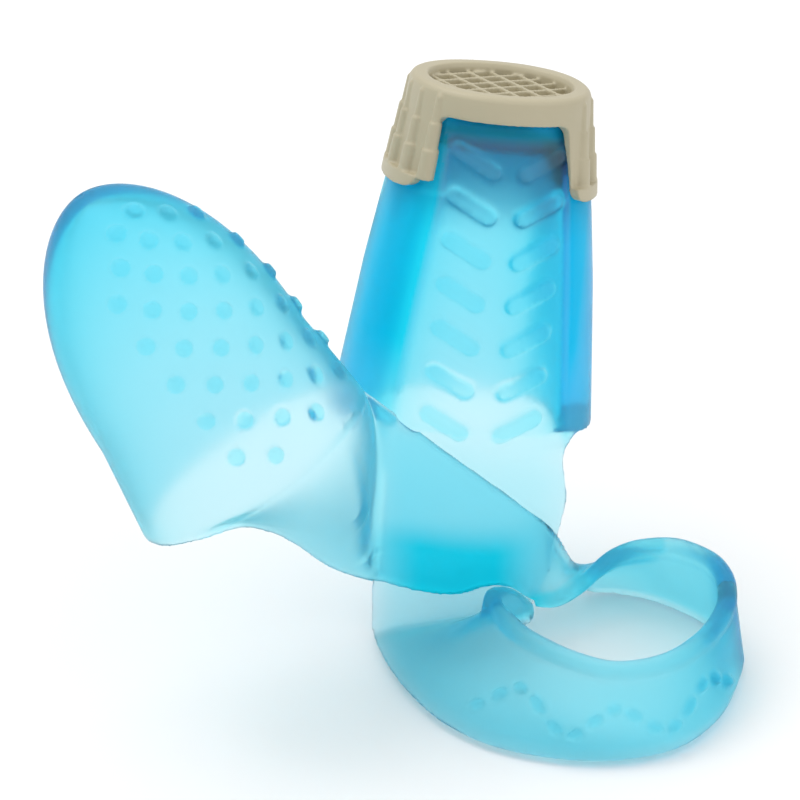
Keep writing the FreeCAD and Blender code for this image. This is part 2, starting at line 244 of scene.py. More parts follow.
# The taper turns into the dome at this height, where the stall has this share of its width.
DOME_START = 9.15
DOME_SHARE = 0.909
DOME_POWER = 2.25
DOME_ROOT = 1.78
# The thumb's stations hold its mouth's size; thumb_sizes tapers it.
thumb = Stall(
    (-29.4, -2.5, 25.0),
    (-15.6, 3, 27.2),
    33.0,
    [(0, THUMB_HALF_WIDTH, THUMB_HALF_DEPTH), (30, THUMB_HALF_WIDTH, THUMB_HALF_DEPTH)],
    THUMB_POWER,
)
SEGMENTS = 144
around = np.linspace(0, 2 * math.pi, SEGMENTS, endpoint=False)

PANEL_DEPTH = 0.55
PANEL_STEP = 0.55
PANEL_HEIGHTS = [0, 13, 22, 30]
PANEL_HALF_WIDTHS = [8.3, 7.0, 5.9, 5.4]


def panel_half(height):
    """Half width of the finger's flat pad panel."""
    return np.interp(height, PANEL_HEIGHTS, PANEL_HALF_WIDTHS)


def panel_dip(x, y, height):
    """How far the pad panel lies below the oval."""
    half = panel_half(height)
    return PANEL_DEPTH * (1 - smoothstep(half - PANEL_STEP, half + PANEL_STEP, np.abs(x))) * (y < 0)


def finger_ring(height):
    x, y = finger.local(height, around)
    y = y + panel_dip(x, y, height)
    return finger.place(x, y, height)


def bore_ring(height, share=1.0):
    """A ring of the finger's bore: a rounded box, narrower than the stall."""
    half_width = np.interp(height, FINGER_BORE[:, 0], FINGER_BORE[:, 1]) * share
    half_depth = np.interp(height, FINGER_BORE[:, 0], FINGER_BORE[:, 2]) * share
    x, y = superoval(half_width, half_depth, around, BORE_POWER)
    return finger.place(x, y + BORE_SHIFT, height)


def add_finger_stall(part):
    """The finger stall: its outer skin up to the top, then its bore back down."""
    heights = np.concatenate([np.linspace(0, STEP_LOW, 24), np.linspace(STEP_HIGH, FINGER_TOP - 1.0, 8),
                              [FINGER_TOP - 0.4, FINGER_TOP - 0.1]])
    rings = [finger_ring(height) for height in heights]
    x, y = finger.local(FINGER_TOP, around)
    for share in (0.93, 0.02):
        rings.append(finger.place(x * share, y * share, FINGER_TOP))
    top = FINGER_BORE[-1, 0]
    rings.append(bore_ring(top, 0.02))
    rings.append(bore_ring(top, 0.85))
    for height in np.linspace(top - 0.5, 0, 26):
        rings.append(bore_ring(height))
    part.add_ringed(rings)


def thumb_sizes(height):
    """The thumb's half sizes: a long taper that closes in a round dome."""
    taper = np.interp(height, [0, DOME_START], [1.0, DOME_SHARE])
    if height > DOME_START:
        share = (height - DOME_START) / (THUMB_TOP - DOME_START)
        taper = DOME_SHARE * max(1 - share ** DOME_POWER, 0.0) ** (1 / DOME_ROOT)
    return THUMB_HALF_WIDTH * taper, THUMB_HALF_DEPTH * taper


def thumb_ring(height, shown_height, inset=0.0):
    half_width, half_depth = thumb_sizes(height)
    x, y = superoval(max(half_width - inset, 0.15), max(half_depth - inset, 0.12), around, THUMB_POWER)
    return thumb.place(x, y, shown_height)


THUMB_TIP_WALL = 1.3
# Thickness of the thumb stall's wall at heights: thin at its mouth.
THUMB_WALL_HEIGHTS = [0, 6, 14, 24, 31]
THUMB_WALLS = [0.6, 0.65, 0.8, 0.9, 1.0]


def add_thumb_stall(part):
    """The thumb stall: its outer skin up to the dome, then its bore back down."""
    last = THUMB_TOP - 0.02
    climb = np.sin(np.linspace(0, math.pi / 2, 22))
    heights = list(np.linspace(0, DOME_START - 0.6, 12)) + list(DOME_START + (last - DOME_START) * climb)
    rings = [thumb_ring(height, height) for height in heights]
    inside = 1 - THUMB_TIP_WALL / last
    for height in heights[::-1]:
        wall = np.interp(height, THUMB_WALL_HEIGHTS, THUMB_WALLS)
        rings.append(thumb_ring(height, height * inside, wall))
    part.add_ringed(rings)


def stadium(length, width, count=10):
    """Outline of a bar with round ends, as 2-D points."""
    radius = width / 2
    straight = length / 2 - radius
    arc = np.linspace(-math.pi / 2, math.pi / 2, count)
    right = np.stack([straight + radius * np.cos(arc), radius * np.sin(arc)], 1)
    return np.concatenate([right, -right])


BAR_ROWS = 7
BAR_LENGTH = 5.2
BAR_WIDTH = 1.6
BAR_PROUD = 0.6
# A bar's outline from its root to its rounded top: share of its size, and height.
BAR_PROFILE = [(1.0, -0.5), (1.0, 0.2), (0.97, 0.38), (0.86, BAR_PROUD), (0.5, BAR_PROUD)]
BAR_FIRST = 25.9
BAR_PITCH = 4.15
BAR_OFFSET = 3.15
BAR_SLOPE = 28.0
BAR_SPREAD = 0.02


def add_chevrons(part):
    """Rows of raised bars on the finger's pad, from its top down."""
    for row in range(BAR_ROWS):
        height = BAR_FIRST - row * BAR_PITCH
        offset = BAR_OFFSET * (1 + BAR_SPREAD * row)
        for side in (-1, 1):
            slope = math.radians(BAR_SLOPE * side)
            rings = []
            for shrink, proud in BAR_PROFILE:
                length, width = stadium(BAR_LENGTH - BAR_WIDTH * (1 - shrink), BAR_WIDTH * shrink).T
                across = side * offset + length * math.cos(slope) - width * math.sin(slope)
                along = height + length * math.sin(slope) + width * math.cos(slope)
                y = finger.face(across, along) + PANEL_DEPTH - proud
                rings.append(finger.place(across, y, along))
            part.add_tube(rings)


DOT_RADIUS = 0.75
DOT_PROUD = 0.55
DOT_FIRST = 3.1
DOT_PITCH = 4.3
DOT_RISE = 0.2
DOT_START = -14.0
DOT_TURN = 16.8
DOT_DRIFT = -0.75
DOTS_IN_COLUMN = [5, 6, 6, 6, 6, 6, 5]
# A dot's outline from its root to its top: share of its radius, and height.
DOT_PROFILE = [(1.0, -0.6), (1.0, 0.35), (0.93, 0.5), (0.6, DOT_PROUD)]


def dot_places():
    """Height up the thumb and angle round it, in radians, of each grip dot."""
    for column, count in enumerate(DOTS_IN_COLUMN):
        stagger = DOT_PITCH / 2 * (1 - column % 2)
        for index in range(count):
            height = DOT_FIRST + column * DOT_RISE + stagger + index * DOT_PITCH
            turn = DOT_START + column * DOT_TURN + height * DOT_DRIFT
            yield height, math.radians(turn - 90)


def add_dots(part):
    turn = np.linspace(0, 2 * math.pi, 24, endpoint=False)
    for height, angle in dot_places():
        half_width, half_depth = thumb_sizes(height)
        reach = 1 / math.hypot(math.cos(angle) / half_width, math.sin(angle) / half_depth)
        outward = math.cos(angle) * thumb.x + math.sin(angle) * thumb.y
        # The stall closes toward its dome, so the dots tip with its skin.
        upper = thumb_sizes(height + 0.5)[1]
        lower = thumb_sizes(height - 0.5)[1]
        normal = unit(outward + thumb.z * (lower - upper))
        side = unit(np.cross(thumb.z, normal))
        rise = np.cross(normal, side)
        centre = thumb.origin + reach * outward + height * thumb.z
        rings = []
        for radius, proud in DOT_PROFILE:
            circle = (np.cos(turn)[:, None] * side + np.sin(turn)[:, None] * rise) * DOT_RADIUS * radius
            rings.append(centre + circle + normal * proud)
        part.add_tube(rings)


# --------------------------------------------------------- strap, ring, web
def add_grid(part, grid, thickness, profile=(1.0, 1.0)):
    """A closed sheet over a grid of points: thickness down it, profile across it."""
    down = np.interp(np.linspace(0, 1, len(grid)), np.linspace(0, 1, len(thickness)), thickness)
    across = np.interp(np.linspace(0, 1, grid.shape[1]), np.linspace(0, 1, len(profile)), profile)
    thickness = (down[:, None] * across[None, :])[:, :, None]
    normal = np.cross(np.gradient(grid, axis=0), np.gradient(grid, axis=1))
    length = np.linalg.norm(normal, axis=2, keepdims=True)
    normal = normal / np.maximum(length, 1e-9)
    front = grid + normal * thickness / 2
    back = grid - normal * thickness / 2
    part.add_tube([np.concatenate([a, b[::-1]]) for a, b in zip(front, back)])


def add_sheet(part, stations, thickness, profile=(1.0, 1.0), rows_per_station=6, columns=20):
    """A closed sheet through stations of three points each: edge, middle, edge."""
    stations = np.array(stations, float)
    share = np.linspace(0, 1, (len(stations) - 1) * rows_per_station + 1)
    edges = [curve_through(stations[:, k], share) for k in range(3)]
    u = np.linspace(0, 1, columns)[None, :, None]
    grid = (edges[0][:, None] * (1 - u) * (1 - 2 * u) + edges[1][:, None] * 4 * u * (1 - u)
            + edges[2][:, None] * u * (2 * u - 1))
    add_grid(part, grid, thickness, profile)


def add_cord(part, path, radii, count=240, sides=16):
    """A round bead along a smooth path."""
    share = np.linspace(0, 1, count)
    line = curve_through(path, share)
    radius = np.interp(share, np.linspace(0, 1, len(radii)), radii)
    tangent = np.gradient(line, axis=0)
    tangent /= np.linalg.norm(tangent, axis=1, keepdims=True)
    up = np.array([0.0, 0.0, 1.0])
    turn = np.linspace(0, 2 * math.pi, sides, endpoint=False)
    rings = []
    for point, direction, r in zip(line, tangent, radius):
        side = unit(np.cross(direction, up))
        rise = np.cross(side, direction)
        rings.append(point + (np.cos(turn)[:, None] * side + np.sin(turn)[:, None] * rise) * r)
    part.add_tube(rings)


def middle(a, b, push=(0.0, 0.0, 0.0)):
    return (np.array(a, float) + np.array(b, float)) / 2 + np.array(push, float)


# Thickness of the strap, then of the kink where it turns into the ring, then of the ring.
STRAP_WALLS = [0.35, 0.7] + [0.85] * 5
KINK_WALLS = [0.95, 1.0, 1.05, 1.1, 1.2, 1.4, 1.55]
RING_WALL = 1.7
STRAP_PROFILE = [0.75, 1.0, 1.0, 1.0, 1.0, 1.0, 1.0, 0.35]
# Where the strap leaves the finger stall: height, half its angle round the stall.
STRAP_ROOTS = [(5.0, 52), (0.6, 60)]
STRAP_ROOT_INSET = 0.95
# Inner edge (strap's right edge, then the ring's rim) and outer edge (strap's
# left edge, then the ring's foot), with a push of the line between them.
STRAP_AND_RING = [
    ((-0.9, 7.9, 19.3), (-18.6, 7.2, 18.0), (0, -0.9, 0)),
    ((-0.6, 7.4, 14.9), (-18.6, 7.0, 14.0), (0, -0.6, 0)),
    ((-1.1, 7.2, 12.0), (-18.7, 7.0, 10.6), (0, -0.4, 0)),
    ((-2.2, 7.2, 7.6), (-18.8, 7.0, 7.0), (0, -0.2, 0)),
    ((-3.3, 7.0, 4.0), (-18.9, 7.0, 3.4), (0, 0, 0)),
    ((-4.4, 5.9, 2.7), (-18.9, 6.2, 0.7), (0, -0.3, 0.3)),
    ((-6.0, 4.4, 3.2), (-18.3, 3.4, 0.6), (0, -0.5, 0.8)),
    ((-7.0, 2.4, 5.4), (-17.0, -0.6, 0.6), (-0.3, -0.4, 0.6)),
    ((-7.2, -0.2, 7.4), (-15.0, -4.8, 0.6), (-0.3, -0.3, 0.4)),
    ((-6.4, -3.5, 7.8), (-12.1, -9.0, 0.6), (-0.2, -0.2, 0.2)),
    ((-4.6, -6.4, 7.8), (-7.6, -12.6, 0.6), (0, 0, 0)),
    ((-0.6, -9.6, 7.6), (-1.8, -14.5, 0.6), (0, 0, 0)),
    ((3.6, -10.9, 7.3), (3.8, -14.7, 0.6), (0, 0, 0)),
    ((8.2, -9.9, 7.5), (9.2, -12.8, 0.6), (0, 0, 0)),
    ((11.8, -6.7, 7.9), (13.1, -8.3, 0.6), (0, 0, 0)),
    ((13.9, -2.6, 8.3), (15.1, -2.6, 0.6), (0, 0, 0)),
    ((14.3, 0.5, 8.6), (15.45, 0.5, 0.6), (0, 0, 0)),
    ((13.9, 2.9, 8.75), (15.1, 3.6, 0.6), (0, 0, 0)),
]
RING_AND_WEB = [
    ((13.9, -2.6, 8.3), (15.1, -2.6, 0.6), (0, 0, 0)),
    ((14.3, 0.5, 8.6), (15.45, 0.5, 0.6), (0, 0, 0)),
    ((13.9, 2.9, 8.75), (15.1, 3.6, 0.6), (0, 0, 0)),
    ((12.7, 5.4, 8.6), (14.0, 7.0, 0.6), (0, 0, 0)),
    ((9.9, 8.1, 8.1), (11.3, 9.9, 0.6), (0, 0, 0)),
    ((6.7, 9.4, 7.1), (8.0, 12.1, 0.6), (0, 0.3, 0)),
    ((4.2, 9.4, 6.4), (4.8, 12.9, 0.6), (0, 0.7, 0.2)),
    ((2.4, 8.4, 5.6), (2.1, 12.8, 0.8), (0, 1.0, 0.4)),
    ((0.9, 7.0, 4.9), (0.2, 11.7, 2.8), (0, 1.1, 0.7)),
    ((-0.8, 5.7, 4.5), (-1.0, 9.6, 7.6), (0, 0.7, 0.4)),
    ((-2.6, 4.9, 4.6), (-2.4, 6.9, 12.0), (0, 0.2, 0)),
    ((-4.4, 4.4, 5.8), (-4.7, 5.1, 15.3), (0, 0, 0)),
    ((-6.1, 3.9, 7.3), (-7.3, 4.6, 17.8), (0, 0, 0)),
    ((-8.2, 3.8, 7.4), (-10.0, 4.3, 20.2), (0, -0.1, 0)),
    ((-10.8, 4.2, 6.3), (-12.8, 4.2, 22.6), (0, -0.3, 0)),
    ((-14.2, 5.3, 6.0), (-15.3, 4.1, 24.9), (0, -0.6, 0)),
    ((-18.2, 5.9, 6.8), (-17.6, 4.0, 27.0), (0, -0.9, 0)),
]
# The web runs a little way into the skirt, so that they melt together.
WEB_END = [(-18.8, 5.98, 6.92), (-18.55, 4.0, 17.2), (-17.95, 3.98, 27.3)]
WEB_WALLS = [RING_WALL] * 6 + [1.5, 1.4, 1.3]
WEB_WALL = 1.2
# From the thumb stall's front wall (angle round it, in degrees) to the web's
# end, then to the free lower edge.
SKIRT = [
    (6, (-17.6, 4.0, 27.0)),
    (-8, (-17.74, 3.8, 22.0)),
    (-24, (-17.9, 4.1, 16.5)),
    (-40, (-18.1, 4.9, 11.0)),
    (-54, (-18.2, 5.9, 6.8)),
    (-65, (-21.0, 2.8, 9.4)),
    (-77, (-23.4, -0.6, 13.0)),
    (-91, (-25.8, -4.6, 17.8)),
    (-106, (-28.2, -8.4, 21.8)),
    (-122, (-30.8, -11.4, 24.2)),
    (-139, (-34.3, -12.5, 23.3)),
]
SKIRT_ROOT = 0.4
SKIRT_ROOT_INSET = 0.32
SKIRT_WALLS = [1.1, 1.0, 0.9, 0.8]
SKIRT_PROFILE = [0.62, 0.8, 1.0, 1.0]
SKIRT_ROWS = 72
SKIRT_COLUMNS = 20
# The web's own direction where the skirt meets it, at its top and lower down.
WEB_RUN_TOP = np.array([0.74, 0.03, -0.67])
WEB_RUN_LOW = np.array([0.97, -0.15, -0.19])
WEB_RUN_SHARE = 0.4
LEAVE_PULL = 0.7
ARRIVE_PULL = 0.6


def add_skirt(part):
    """The sheet that flows from the thumb stall's wall into the web."""
    share = np.linspace(0, 1, SKIRT_ROWS)
    degrees = np.interp(share, np.linspace(0, 1, len(SKIRT)), [entry[0] for entry in SKIRT])
    end = curve_through([entry[1] for entry in SKIRT], share)
    angle = np.radians(degrees)
    half_width, half_depth = thumb_sizes(SKIRT_ROOT)
    start = thumb.place((half_width - SKIRT_ROOT_INSET) * np.cos(angle),
                        (half_depth - SKIRT_ROOT_INSET) * np.sin(angle), SKIRT_ROOT)
    reach = np.linalg.norm(end - start, axis=1, keepdims=True)
    # Rows that end on the web's edge arrive partly along it; the rest run straight.
    to_web = (1 - smoothstep(0.36, 0.46, share)[:, None]) * WEB_RUN_SHARE
    straight = (end - start) / np.maximum(reach, 1e-9)
    drop = np.clip(share / 0.4, 0, 1)[:, None]
    web_run = WEB_RUN_TOP * (1 - drop) + WEB_RUN_LOW * drop
    arrive = straight * (1 - to_web) + web_run * to_web
    arrive *= reach * ARRIVE_PULL / np.linalg.norm(arrive, axis=1, keepdims=True)
    leave = -thumb.z * reach * LEAVE_PULL
    t = np.linspace(0, 1, SKIRT_COLUMNS)[None, :, None]
    grid = (start[:, None] * (2 * t ** 3 - 3 * t ** 2 + 1) + leave[:, None] * (t ** 3 - 2 * t ** 2 + t)
            + end[:, None] * (3 * t ** 2 - 2 * t ** 3) + arrive[:, None] * (t ** 3 - t ** 2))
    add_grid(part, grid, SKIRT_WALLS, SKIRT_PROFILE)


def add_strap_and_ring(part):
    """One sheet from the finger stall's pad side down the strap and round the ring."""
    stations = []
    for height, degrees in STRAP_ROOTS:
        stations.append([finger.wall_point(height, -90 + degrees),
                         finger.wall_point(height, -90, STRAP_ROOT_INSET),
                         finger.wall_point(height, -90 - degrees)])
    for inner, outer, push in STRAP_AND_RING:
        stations.append([inner, middle(inner, outer, push), outer])
    walls = STRAP_WALLS + KINK_WALLS
    walls += [RING_WALL] * (len(stations) - len(walls))
    add_sheet(part, stations, walls, STRAP_PROFILE)


LIP_RISE = 0.6
LIP_RADIUS = 0.95
# The rim's end, curled over in a small ear: lower edge, middle, upper edge.
EAR = [
    ((-3.9, 5.7, 2.2), (-3.7, 5.4, 3.1), (-3.5, 5.0, 3.9)),
    ((-4.9, 5.3, 2.3), (-4.5, 4.8, 3.7), (-4.1, 4.3, 4.9)),
    ((-6.1, 4.4, 3.0), (-5.7, 3.6, 5.0), (-5.3, 3.2, 6.9)),
    ((-7.0, 2.9, 4.4), (-6.8, 1.9, 6.6), (-6.4, 1.9, 8.2)),
    ((-7.7, 1.0, 5.8), (-7.6, 0.4, 7.5), (-7.4, 0.5, 8.8)),
    ((-8.0, -1.2, 6.6), (-7.9, -1.4, 7.6), (-7.7, -1.4, 8.4)),
]
EAR_WALLS = [1.3, 1.5, 1.6, 1.6]
# The rim's bead swells out of the ear, and on the web's side fades along the twist.
RIM_START = [(-7.3, 0.4, 8.3), (-7.1, -1.2, 8.1)]
RIM_START_RADII = [0.5, 0.7]
RIM_END_RADII = [0.85, 0.75, 0.7, 0.65, 0.55]
RIM_END = [(4.3, 9.4, 6.8), (2.5, 8.4, 5.9), (0.7, 6.8, 5.0), (-1.4, 5.4, 4.5), (-3.4, 4.7, 4.9)]


STITCHES = 15
STITCH_START = 0.08
STITCH_END = 0.92
STITCH_FILL = 0.66
STITCH_RADIUS = 0.52
STITCH_TAPER = np.array([0.6, 1.0, 1.0, 0.6])
STITCH_LIFT = RING_WALL / 2 + 0.08
STITCH_TILT = 0.4
# The stitches' wavy line: its middle and swing as shares of the band's height.
WAVE_MIDDLE = 0.54
WAVE_SWING = 0.17
WAVES = 3.5
RING_CENTRE = np.array([3.8, -0.5, 0.0])


def add_stitch_motif(part):
    """A raised wavy line of stitches round the front of the ring."""
    front = np.array([[inner, middle(inner, outer), outer] for inner, outer, _ in STRAP_AND_RING[9:16]])
    pitch = (STITCH_END - STITCH_START) / STITCHES
    for index in range(STITCHES):
        start = STITCH_START + pitch * index
        share = np.linspace(start, start + pitch * STITCH_FILL, 6)
        edges = [curve_through(front[:, k], share) for k in range(3)]
        wave = WAVE_MIDDLE + WAVE_SWING * np.sin(share * 2 * math.pi * WAVES)
        line = edges[0] * (1 - wave)[:, None] + edges[2] * wave[:, None]
        # The ring's outer side faces away from its axis, and a little up.
        outward = line - RING_CENTRE
        outward[:, 2] = 0
        outward /= np.linalg.norm(outward, axis=1, keepdims=True)
        outward[:, 2] = STITCH_TILT
        add_cord(part, line + outward * STITCH_LIFT, STITCH_TAPER * STITCH_RADIUS, count=14, sides=10)


def build_finger_moulding():
    """The finger stall, the strap, and the ring round to the seam at its right."""
    part = Part()
    add_finger_stall(part)
    add_chevrons(part)
    add_strap_and_ring(part)
    add_sheet(part, EAR, EAR_WALLS)
    rim = RIM_START + [(x, y, z + LIP_RISE) for (x, y, z), _, _ in STRAP_AND_RING[9:]]
    add_cord(part, rim, RIM_START_RADII + [LIP_RADIUS] * 8)
    add_stitch_motif(part)
    return part


def build_thumb_moulding():
    """The thumb stall, the web, and the back of the ring from the seam on."""
    part = Part()
    add_thumb_stall(part)
    add_dots(part)
    stations = []
    for inner, outer, push in RING_AND_WEB:
        stations.append([inner, middle(inner, outer, push), outer])
    stations.append(WEB_END)
    add_sheet(part, stations, WEB_WALLS + [WEB_WALL] * (len(stations) - len(WEB_WALLS)))
    add_skirt(part)
    rim = [(x, y, z + LIP_RISE) for (x, y, z), _, _ in RING_AND_WEB[:6]] + RIM_END
    add_cord(part, rim, [LIP_RADIUS] * 6 + RIM_END_RADII)
    return part


SEAM_Y = 0.5
SEAM_GAP = 0.015
# The cut reaches only what lies right of here and below here.
SEAM_LEFT = 9.0
SEAM_TOP = 12


def trim_at_seam(obj, keep_front):
    """Cuts the ring's right side so that the two mouldings meet flush."""
    work = bmesh.new()
    work.from_mesh(obj.data)
    seam = (FOOT[1] + SEAM_Y) * MM
    near = [v for v in work.verts if v.co.x > (FOOT[0] + SEAM_LEFT) * MM and v.co.z < SEAM_TOP * MM]
    near_set = set(near)
    faces = [f for f in work.faces if all(v in near_set for v in f.verts)]
    edges = {e for f in faces for e in f.edges}
    side = -1 if keep_front else 1
    place = Vector((0, seam + side * SEAM_GAP * MM, 0))
    result = bmesh.ops.bisect_plane(work, geom=near + list(edges) + faces, plane_co=place,
                                    plane_no=Vector((0, 1, 0)), clear_outer=keep_front,
                                    clear_inner=not keep_front)
    rim = [e for e in result["geom_cut"] if isinstance(e, bmesh.types.BMEdge)]
    bmesh.ops.holes_fill(work, edges=rim, sides=0)
    work.to_mesh(obj.data)
    work.free()


MELT_ROUNDS = 3
SOFTEN_ROUNDS = 70
# Where two sheets meet and flow into one: the box's low and high corners.
WEB_FOLD = (-21.5, -2.0, 10.5), (-14.5, 8.0, 26.0)
STRAP_EDGE = (-19.4, 5.0, 7.0), (-16.6, 9.0, 18.5)


def soften(obj, low, high):
    """Smooths the mesh inside a box until the join between two sheets is gone."""
    low, high = (np.array(low) + FOOT) * MM, (np.array(high) + FOOT) * MM
    work = bmesh.new()
    work.from_mesh(obj.data)
    near = [v for v in work.verts if all(low[k] < v.co[k] < high[k] for k in range(3))]
    for _ in range(SOFTEN_ROUNDS):
        bmesh.ops.smooth_vert(work, verts=near, factor=0.5, use_axis_x=True, use_axis_y=True,
                              use_axis_z=True)
    work.to_mesh(obj.data)
    work.free()


# The painted inner light under the cap sets in between these heights.
PAINTED_LIGHT_START = 15.0
PAINTED_LIGHT_FULL = 23.5
THUMB_SIDE_X = -18.0


def painted_light_at(points):
    """How cloudy the silicone is, as painted inner light: the stall's back wall clouds over under the cap,
    so the cap's shaded inside does not show through.
    """
    local = points - finger.origin
    back, height = local @ finger.y, local @ finger.z
    return (smoothstep(PAINTED_LIGHT_START, PAINTED_LIGHT_FULL, height) * smoothstep(0.0, 2.0, back)
            * (1 - smoothstep(30.5, 31.0, height)) * (points[:, 0] > THUMB_SIDE_X))


def build_moulding(name, part, keep_front, depth_shade_and_highlight_at, fold):
    """Melts a moulding's solids together, trims it and stores its colour by place, painted shade, highlight
    and inner light included.
    """
    obj = make_object(name, part.mesh(name))
    melt(obj, VOXEL, MELT_ROUNDS)
    soften(obj, *fold)
    trim_at_seam(obj, keep_front)
    mesh = obj.data
    mesh.polygons.foreach_set("use_smooth", [True] * len(mesh.polygons))
    points = np.empty(len(mesh.vertices) * 3)
    mesh.vertices.foreach_get("co", points)
    points = points.reshape(-1, 3) / MM - FOOT
    # Each point stores its depth colour, partly painted shade and highlight, and its painted inner light.
    for attribute, values in (("depth", depth_shade_and_highlight_at(points)), ("painted_light", painted_light_at(points))):
        made = mesh.attributes.new(attribute, "FLOAT", "POINT")
        made.data.foreach_set("value", values.astype(np.float32))
    return obj


def finger_depth_shade_and_highlight(points):
    """How deep the finger moulding's colour is: its tip, side rails and bars. The tip's depth is partly
    painted shade from the cap; the right rail's fade is a painted highlight.
    """
    local = points - finger.origin
    x, y, height = local @ finger.x, local @ finger.y, local @ finger.z
    proud = finger.face(x, height) + PANEL_DEPTH - y
    bars = smoothstep(0.2, 0.4, proud) * (np.abs(x) < 6) * (height > 0) * (height < 28)
    # The rails beside the panel fade toward the stall's mouth, and toward its right side as a painted
    # highlight.
    half = panel_half(height)
    rails_and_highlight = smoothstep(half - 0.3, half + 0.6, np.abs(x)) * (1 - 0.75 * smoothstep(8.3, 10.4, x))
    rails_and_highlight *= 0.25 + 0.75 * smoothstep(-0.5, 9.0, height)
    rails_and_highlight *= (height > -1.5) * (np.abs(y) < 9.5)
    # The tip under the cap is deep for its thick silicone and for painted shade cast by the cap.
    tip_thick_and_shaded = smoothstep(26.4, 28.6, height)
    return np.clip(np.maximum(rails_and_highlight, tip_thick_and_shaded) + 0.2 * bars, 0, 1)


def thumb_depth_and_shade(points):
    """How deep the thumb moulding's colour is: doubled web with painted shade between its sheets, twisted
    lip, dots.
    """
    x, y, z = points.T
    # The web is doubled low down, between the thumb's fold and the twist; its depth there is two layers
    # plus painted shade between them.
    doubled_and_shaded = 1 - smoothstep(11.0, 14.8, z + 0.08 * (x + 10))
    doubled_and_shaded *= smoothstep(-21.5, -14.0, x) * (1 - smoothstep(-7.5, -1.0, x))
    path = curve_through([(8.0, 9.3, 7.7)] + RIM_END, np.linspace(0, 1, 60))
    away = np.min(np.linalg.norm(points[:, None] - path[None], axis=2), axis=1)
    lip = 1 - smoothstep(0.9, 1.5, away)
    local = points - thumb.origin
    height = local @ thumb.z
    across, back = local @ thumb.x, local @ thumb.y
    sizes = np.array([thumb_sizes(h) for h in np.linspace(0, 31, 63)])
    half_width = np.interp(height, np.linspace(0, 31, 63), sizes[:, 0])
    half_depth = np.interp(height, np.linspace(0, 31, 63), sizes[:, 1])
    reach = np.hypot(across / half_width, back / half_depth)
    dots = smoothstep(1.018, 1.035, reach) * (height > 2) * (height < 29)
    return np.clip(doubled_and_shaded + 0.6 * lip + 0.3 * dots, 0, 1)


# ---------------------------------------------------------------- materials
def material(name):
    made = bpy.data.materials.new(name)
    made.use_nodes = True
    made.node_tree.nodes.clear()
    return made, made.node_tree.nodes, made.node_tree.links


def noise(nodes, links, vector, scale, detail, roughness=0.5):
    node = nodes.new("ShaderNodeTexNoise")
    node.inputs["Scale"].default_value = scale
    node.inputs["Detail"].default_value = detail
    node.inputs["Roughness"].default_value = roughness
    links.new(vector, node.inputs["Vector"])
    return node


def ramp(nodes, links, value, low, high, out_low, out_high):
    node = nodes.new("ShaderNodeMapRange")
    node.inputs["From Min"].default_value = low
    node.inputs["From Max"].default_value = high
    node.inputs["To Min"].default_value = out_low
    node.inputs["To Max"].default_value = out_high
    links.new(value, node.inputs["Value"])
    return node.outputs["Result"]


def mix_colours(nodes, links, share, first, second):
    """A mix from the first colour to the second; without a first, that socket is left to link."""
    node = nodes.new("ShaderNodeMix")
    node.data_type = "RGBA"
    if first:
        node.inputs[6].default_value = first
    node.inputs[7].default_value = second
    links.new(share, node.inputs[0])
    return node


def silicone_material():
    """Frosted translucent silicone: cloudy skin, blue in its depth, with painted shade and a painted
    highlight in that depth colour and painted inner light under the cap.
    """
    made, nodes, links = material("sky blue silicone")
    output = nodes.new("ShaderNodeOutputMaterial")
    shader = nodes.new("ShaderNodeBsdfPrincipled")
    place = nodes.new("ShaderNodeTexCoord").outputs["Object"]
    cloud = noise(nodes, links, place, 90.0, 3.0)
    frost = noise(nodes, links, place, 1900.0, 2.0)
    rough = ramp(nodes, links, cloud.outputs["Fac"], 0.3, 0.7, 0.30, 0.40)
    links.new(rough, shader.inputs["Roughness"])
    tint = mix_colours(nodes, links, cloud.outputs["Fac"], (0.88, 0.92, 0.96, 1), (0.92, 0.945, 0.975, 1))
    # Deep colour by place: thickness, with painted shade at the tip and doubled web and a painted highlight
    # on the right rail.
    deep_shade_and_highlight = nodes.new("ShaderNodeAttribute")
    deep_shade_and_highlight.attribute_name = "depth"
    depth_shade_highlight_tint = mix_colours(nodes, links, deep_shade_and_highlight.outputs["Fac"], None, (0.02, 0.86, 0.97, 1))
    links.new(tint.outputs[2], depth_shade_highlight_tint.inputs[6])
    # Painted inner light: a cloudy blue skin under the cap in place of the cap's shaded inside seen through
    # the silicone.
    painted_light = nodes.new("ShaderNodeAttribute")
    painted_light.attribute_name = "painted_light"
    painted_light_mix = mix_colours(nodes, links, painted_light.outputs["Fac"], None, (0.18, 0.66, 0.84, 1))
    links.new(depth_shade_highlight_tint.outputs[2], painted_light_mix.inputs[6])
    links.new(painted_light_mix.outputs[2], shader.inputs["Base Color"])
    clear = nodes.new("ShaderNodeMath")
    clear.operation = "SUBTRACT"
    links.new(ramp(nodes, links, deep_shade_and_highlight.outputs["Fac"], 0.0, 1.0, 0.97, 0.80), clear.inputs[0])
    links.new(ramp(nodes, links, painted_light.outputs["Fac"], 0.0, 1.0, 0.0, 0.7), clear.inputs[1])
    links.new(clear.outputs[0], shader.inputs["Transmission Weight"])
    shader.inputs["IOR"].default_value = 1.2
    bump = nodes.new("ShaderNodeBump")
    bump.inputs["Strength"].default_value = 0.08
    bump.inputs["Distance"].default_value = 0.00005
    links.new(frost.outputs["Fac"], bump.inputs["Height"])
    links.new(bump.outputs["Normal"], shader.inputs["Normal"])
    depth = nodes.new("ShaderNodeVolumeAbsorption")
    depth.inputs["Color"].default_value = (0.10, 0.91, 0.98, 1)
    depth.inputs["Density"].default_value = 640.0
    links.new(shader.outputs["BSDF"], output.inputs["Surface"])
    links.new(depth.outputs["Volume"], output.inputs["Volume"])
    return made


